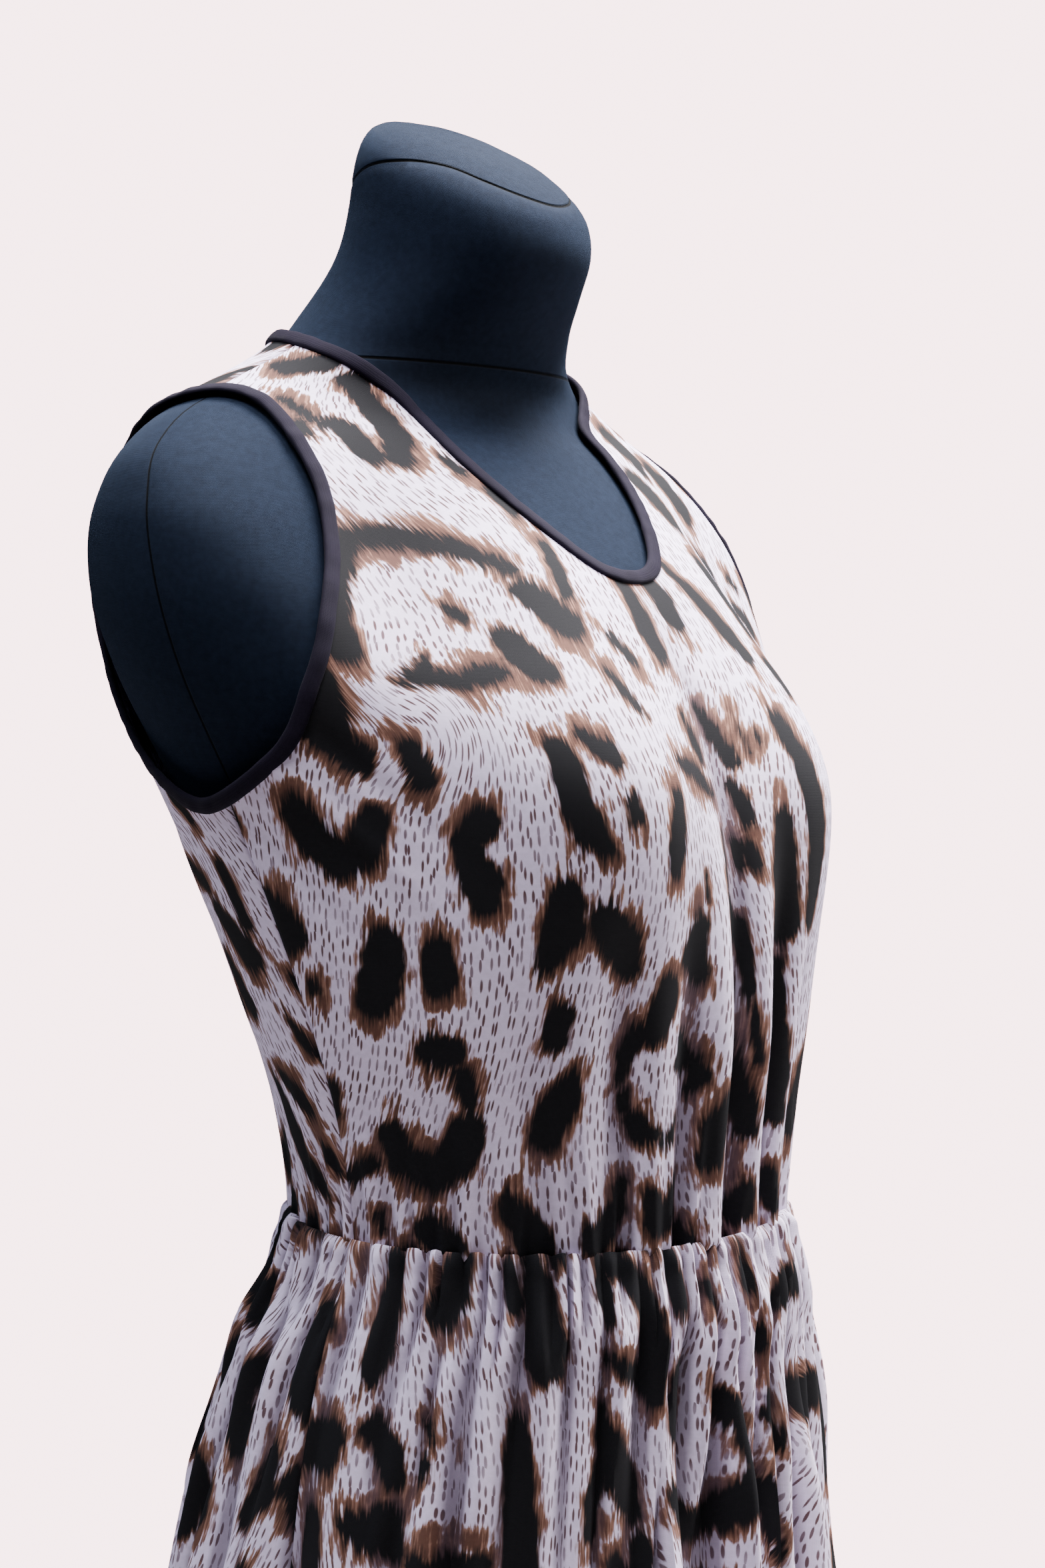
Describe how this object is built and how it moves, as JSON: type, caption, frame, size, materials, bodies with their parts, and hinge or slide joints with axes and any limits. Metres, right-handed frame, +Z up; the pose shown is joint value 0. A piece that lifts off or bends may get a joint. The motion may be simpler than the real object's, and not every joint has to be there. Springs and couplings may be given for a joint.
{
  "type": "sundress on dress form",
  "caption": "Sleeveless knee-length sundress with a scoop neck, bound edges and a gathered skirt, worn on a limbless dress form with a pole stand.",
  "frame": {"origin": "centre of the base plate's underside, on the floor", "axes": "+Z up along the pole, the figure faces -Y, and its right side is -X"},
  "size_m": [0.4974, 0.444, 1.5842],
  "materials": {
    "printed_jersey": "fine matte knit with an animal print in black and brown on a pale lilac-white ground",
    "binding_jersey": "dark aubergine-black ribbed knit binding",
    "form_jersey": "black knit cover with a soft cool sheen",
    "black_steel": "satin black powder coat",
    "polished_steel": "polished tube"
  },
  "bodies": {
    "root": {"bodice_front": "printed_jersey", "bodice_back": "printed_jersey", "skirt_front": "printed_jersey", "skirt_back": "printed_jersey", "neck_binding": "binding_jersey", "armhole_binding_left": "binding_jersey", "armhole_binding_right": "binding_jersey", "form_body": "form_jersey", "form_neck_cap": "form_jersey", "form_socket": "black_steel", "stand_pole": "polished_steel", "stand_collar": "black_steel", "stand_base": "black_steel"}
  },
  "joints": []
}
